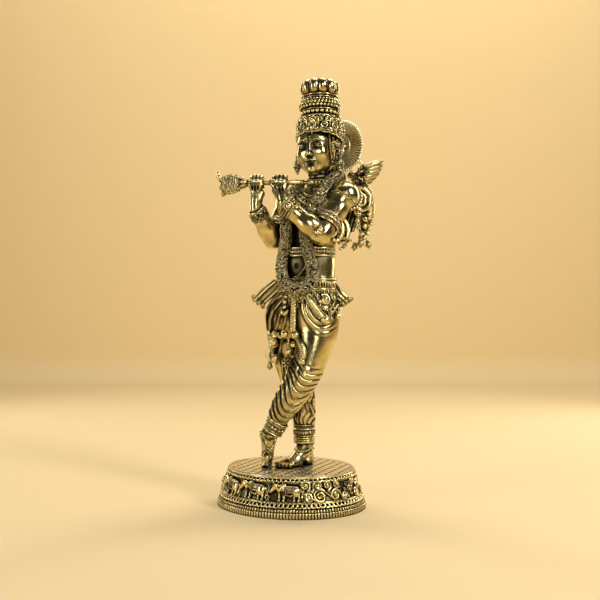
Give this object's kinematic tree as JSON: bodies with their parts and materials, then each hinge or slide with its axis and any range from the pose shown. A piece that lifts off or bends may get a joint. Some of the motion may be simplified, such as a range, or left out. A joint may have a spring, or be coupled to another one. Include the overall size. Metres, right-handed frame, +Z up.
{
  "type": "deity statue",
  "caption": "Cast brass statue of a standing crossed-legged flute player with crown and ribbed disc, on an oval relief pedestal; the flute slides out of the hands.",
  "frame": {"origin": "centre of the oval pedestal, on the plane that its foot ring stands on", "axes": "+Z up, the figure faces -Y, and its left hand side is +X along the pedestal's long axis"},
  "size_m": [0.1098, 0.093, 0.3025],
  "materials": {
    "antique_brass": "polished high spots over a dark patina",
    "dark_brass": "finely textured with more of the dark patina left in it",
    "steel": "plain"
  },
  "bodies": {
    "figure": {"pedestal_shell": "antique_brass", "deck_plate": "antique_brass", "upper_loop_trim": "antique_brass", "lower_loop_trim": "antique_brass", "cow_relief": "antique_brass", "scroll_panel_left": "antique_brass", "scroll_panel_right": "antique_brass", "scroll_panel_rear": "antique_brass", "foot_studs": "steel", "stud_washers": "steel", "stud_nuts": "steel", "right_foot": "antique_brass", "left_foot": "antique_brass", "right_anklet": "antique_brass", "left_anklet": "antique_brass", "lower_body": "antique_brass", "torso": "antique_brass", "neck": "antique_brass", "head": "antique_brass", "hair_locks": "dark_brass", "right_earring": "antique_brass", "left_earring": "antique_brass", "crown_tiara": "antique_brass", "crown_drum": "antique_brass", "crown_finial": "antique_brass", "sun_disc": "antique_brass", "disc_stem": "dark_brass", "right_upper_arm": "antique_brass", "left_upper_arm": "antique_brass", "right_forearm": "antique_brass", "left_forearm": "antique_brass", "right_hand": "antique_brass", "left_hand": "antique_brass", "right_armlet": "antique_brass", "left_armlet": "antique_brass", "right_bangles": "antique_brass", "left_bangles": "antique_brass", "left_epaulette": "antique_brass", "pectoral_collar": "dark_brass", "garland": "dark_brass", "belly_band": "antique_brass", "waist_belt": "antique_brass", "front_tassels": "antique_brass", "right_sash_end": "antique_brass", "left_sash_end": "antique_brass", "hip_chains": "antique_brass", "shawl_fan": "dark_brass", "shoulder_tassels": "dark_brass", "elbow_drape": "dark_brass"},
    "flute": {"flute": "antique_brass", "flute_flowers": "antique_brass"}
  },
  "joints": [
    {"name": "flute_slide", "type": "slide", "parent": "figure", "child": "flute", "axis": [-0.9658, -0.2587, 0.0177], "range_m": [0, 0.055]}
  ]
}
